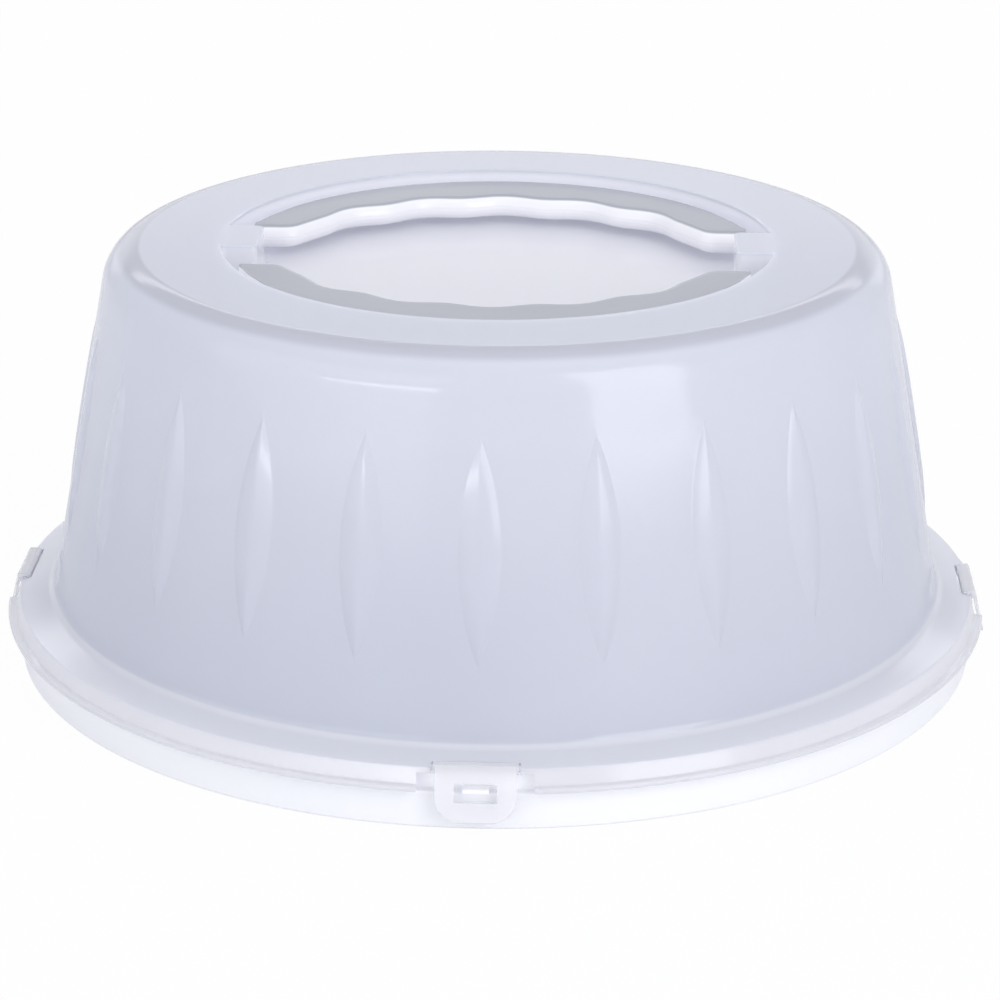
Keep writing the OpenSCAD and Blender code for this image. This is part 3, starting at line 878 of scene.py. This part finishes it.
# %% Rear handle, a mirrored copy
rear_handle = front_handle.copy()
rear_handle.data = front_handle.data.copy()
rear_handle.name = rear_handle.data.name = "rear_grip"
bpy.context.scene.collection.objects.link(rear_handle)
placed(rear_handle, Matrix.Scale(-1, 4, (0, 1, 0)))
finished(front_handle, "front_handle", "front_handle", HANDLE, sharp=40.0)
finished(rear_handle, "rear_handle", "rear_handle", HANDLE, sharp=40.0)

# %% [markdown]
# ## Clips
# A clip is a little plate with a raised border, a window that snaps over the tray's catch, and
# a hook round the bar. It leans outwards as the skirt does, so that a finger gets under its foot.
# The plate starts upright as an extruded outline: Inset makes the border, Bisect trims and rounds
# its top, and then every point moves out by how far it lies below the hook.

# %% Plate with its border
clip_t, clip_z, clip_corner = 1.5, 4.0, 8.5
clip_root, clip_lean = 170.3, math.tan(math.radians(13.5))
border_h, border_w, border_slope = 0.6, 1.7, 0.5
hook_wall, top_round, edge_bevel, spare_h = 0.8, 1.4, 0.2, 4.0
hook_out = bar_r + pin_clear + hook_wall
clip_top = bar_z + hook_out


def clip_in_at(z):
    """Distance from the axis out to the plate's inner face at a height, in millimetres."""
    return clip_root + (bar_z - z) * clip_lean


def clip_plate():
    half, above = clip_w / 2, clip_top + spare_h
    outline = rounded([(-half, clip_z, clip_corner), (half, clip_z, clip_corner), (half, above),
                       (-half, above)], step=6.0)
    made = pushed("plate", outline, 0.0, clip_t + border_h)
    for face in made.data.polygons:
        face.select = face.normal.z > 0.9
    edges = [(clip_top, 0.0, 0.0)]
    round_up, round_out = clip_top - top_round, clip_t + border_h - top_round
    for turn in map(math.radians, (15, 45, 75)):
        up, out = math.cos(turn), math.sin(turn)
        edges.append((round_up + top_round * up, round_out + top_round * out, turn))
    bpy.ops.object.mode_set(mode="EDIT")
    bpy.ops.mesh.select_mode(type="FACE")
    bpy.ops.mesh.inset(thickness=(border_w - border_slope) * MM, depth=0.0)
    bpy.ops.mesh.inset(thickness=border_slope * MM, depth=-border_h * MM)
    bpy.ops.mesh.select_mode(type="VERT")
    for up, out, turn in edges:
        bpy.ops.mesh.select_all(action="SELECT")
        slope = (0, math.cos(turn), math.sin(turn))
        bpy.ops.mesh.bisect(plane_co=(0, up * MM, out * MM), plane_no=slope,
                            use_fill=True, clear_outer=True)
    tidied()
    bevel = made.modifiers.new("soft_edges", "BEVEL")
    bevel.width = edge_bevel * MM
    bevel.segments = 2
    bevel.limit_method = "ANGLE"
    bevel.angle_limit = math.radians(50)
    chosen(made)
    bpy.ops.object.modifier_apply(modifier=bevel.name)
    placed(made, turned(90, "Z") @ turned(90, "X"))
    for v in made.data.vertices:
        v.co.x += clip_in_at(v.co.z / MM) * MM
    return made


# %% Hook and window
window_w, window_h, window_z, window_r, window_deep = 13.6, 6.0, 10.6, 0.6, 12.0
hook_mouth, mouth_reach, spare_w = 1.7, 5.0, 2.0


def across_clip(name, outline, width):
    """A side view, drawn outwards and up, pushed across the clip."""
    made = pushed(name, outline, -width / 2, width / 2)
    return placed(made, turned(90, "X"))


def circle_points(x, y, r, steps=40):
    return [(x + r * math.cos(2 * math.pi * k / steps), y + r * math.sin(2 * math.pi * k / steps))
            for k in range(steps)]


def clip(heading, name):
    made = clip_plate()
    reach = clip_in_at(bar_z) + clip_t / 2
    web = [(bar_at, bar_z), (reach, bar_z), (reach, clip_top), (bar_at, clip_top)]
    combined(made, across_clip("hook", circle_points(bar_at, bar_z, hook_out), clip_w), "UNION")
    combined(made, across_clip("web", web, clip_w), "UNION")
    hole = circle_points(bar_at, bar_z, bar_r + pin_clear)
    combined(made, across_clip("hole", hole, clip_w + spare_w), "DIFFERENCE")
    mouth_in, low, high = bar_at - mouth_reach, bar_z - hook_mouth / 2, bar_z + hook_mouth / 2
    mouth = [(mouth_in, low), (bar_at, low), (bar_at, high), (mouth_in, high)]
    combined(made, across_clip("mouth", mouth, clip_w + spare_w), "DIFFERENCE")
    half, window_top = window_w / 2, window_z + window_h
    outline = rounded([(-half, window_z, window_r), (half, window_z, window_r),
                       (half, window_top, window_r), (-half, window_top, window_r)], step=30.0)
    window = pushed("window", outline, rim_r, rim_r + window_deep)
    combined(made, placed(window, turned(90, "Z") @ turned(90, "X")), "DIFFERENCE")
    made.name = made.data.name = name
    return placed(made, turned(heading))


for side, heading in headings.items():
    finished(clip(heading, side + "_latch"), side + "_clip", side + "_clip", CLIP)

# %% [markdown]
# ## Table and studio
# The carrier stands on a plain pale table in a white studio. The table shows white to the
# camera, and the rest of its colour still takes the soft shadow under the tray. A tall softbox
# stands front right, with a low strip and a wide dim cloth at the left. Behind the carrier a
# strip and a cloth show in the glossy flat top, and an even pale sky fills in between.

# %% Table
white_share = 0.96
table_w, table_drop = 12.0, 0.2


def table_surface():
    material, tree, shader = new_material("pale_table")
    shader.inputs["Base Color"].default_value = (0.86, 0.86, 0.88, 1.0)
    shader.inputs["Roughness"].default_value = 0.6
    glow = wired(tree, "ShaderNodeEmission", Strength=1.0)
    path = wired(tree, "ShaderNodeLightPath")
    seen = wired(tree, "ShaderNodeMath", operation="MAXIMUM")
    share = wired(tree, "ShaderNodeMath", operation="MULTIPLY")
    share.inputs[1].default_value = white_share
    blend = wired(tree, "ShaderNodeMixShader")
    out = tree.nodes["Material Output"]
    tree.links.new(path.outputs["Is Camera Ray"], seen.inputs[0])
    tree.links.new(path.outputs["Is Transmission Ray"], seen.inputs[1])
    tree.links.new(seen.outputs["Value"], share.inputs[0])
    tree.links.new(share.outputs["Value"], blend.inputs["Fac"])
    tree.links.new(shader.outputs["BSDF"], blend.inputs[1])
    tree.links.new(glow.outputs["Emission"], blend.inputs[2])
    tree.links.new(blend.outputs["Shader"], out.inputs["Surface"])
    return material


bpy.ops.mesh.primitive_plane_add(size=table_w, location=(0, 0, -table_drop * MM))
table = bpy.context.object
table.name = "table"
table.data.materials.append(table_surface())

# %% Sky
world = bpy.data.worlds.new("studio")
bpy.context.scene.world = world
world.use_nodes = True
tree = world.node_tree
sky = tree.nodes["Background"]
sky.inputs["Color"].default_value = (0.96, 0.97, 1.0, 1.0)
sky.inputs["Strength"].default_value = 0.72
white = wired(tree, "ShaderNodeBackground", Strength=1.0)
white.inputs["Color"].default_value = (1.0, 1.0, 1.0, 1.0)
path = wired(tree, "ShaderNodeLightPath")
blend = wired(tree, "ShaderNodeMixShader")
tree.links.new(path.outputs["Is Camera Ray"], blend.inputs["Fac"])
tree.links.new(sky.outputs["Background"], blend.inputs[1])
tree.links.new(white.outputs["Background"], blend.inputs[2])
tree.links.new(blend.outputs["Shader"], tree.nodes["World Output"].inputs["Surface"])

# %% Lamps
lamp_distance = 1.6


def softbox(name, turn_from, turn_to, rise_from, rise_to, radiance):
    """A flat lamp that covers a stretch of the horizon, in degrees, seen from the carrier."""
    turn = math.radians((turn_from + turn_to) / 2)
    rise = math.radians((rise_from + rise_to) / 2)
    level = math.cos(rise)
    way = Vector((math.sin(turn) * level, -math.cos(turn) * level, math.sin(rise)))
    data = bpy.data.lights.new(name, "AREA")
    data.shape = "RECTANGLE"
    data.size = 2 * lamp_distance * math.tan(math.radians((turn_to - turn_from) / 2))
    data.size_y = 2 * lamp_distance * math.tan(math.radians((rise_to - rise_from) / 2))
    data.energy = radiance * math.pi * data.size * data.size_y
    lamp = bpy.data.objects.new(name, data)
    bpy.context.scene.collection.objects.link(lamp)
    lamp.location = looked_at + lamp_distance * way
    lamp.rotation_mode = "QUATERNION"
    lamp.rotation_quaternion = (-way).to_track_quat("-Z", "Y")
    print(f"{name}: {data.size:.2f} by {data.size_y:.2f} m")


softbox("right_softbox", 26, 54, 0.5, 46, 2.3)
softbox("left_strip", -45, -14, 6, 9, 5.0)
softbox("left_cloth", -80, -15, 0, 40, 0.55)
softbox("rear_strip", 150, 210, 25, 30, 1.2)
softbox("rear_cloth", 145, 215, 3, 18, 0.35)
softbox("overhead", -40, 40, 65, 115, 0.3)

# %% [markdown]
# ## Finish
# Colours are shown as they are written.

# %% Finish
bpy.context.scene.view_settings.view_transform = "Standard"
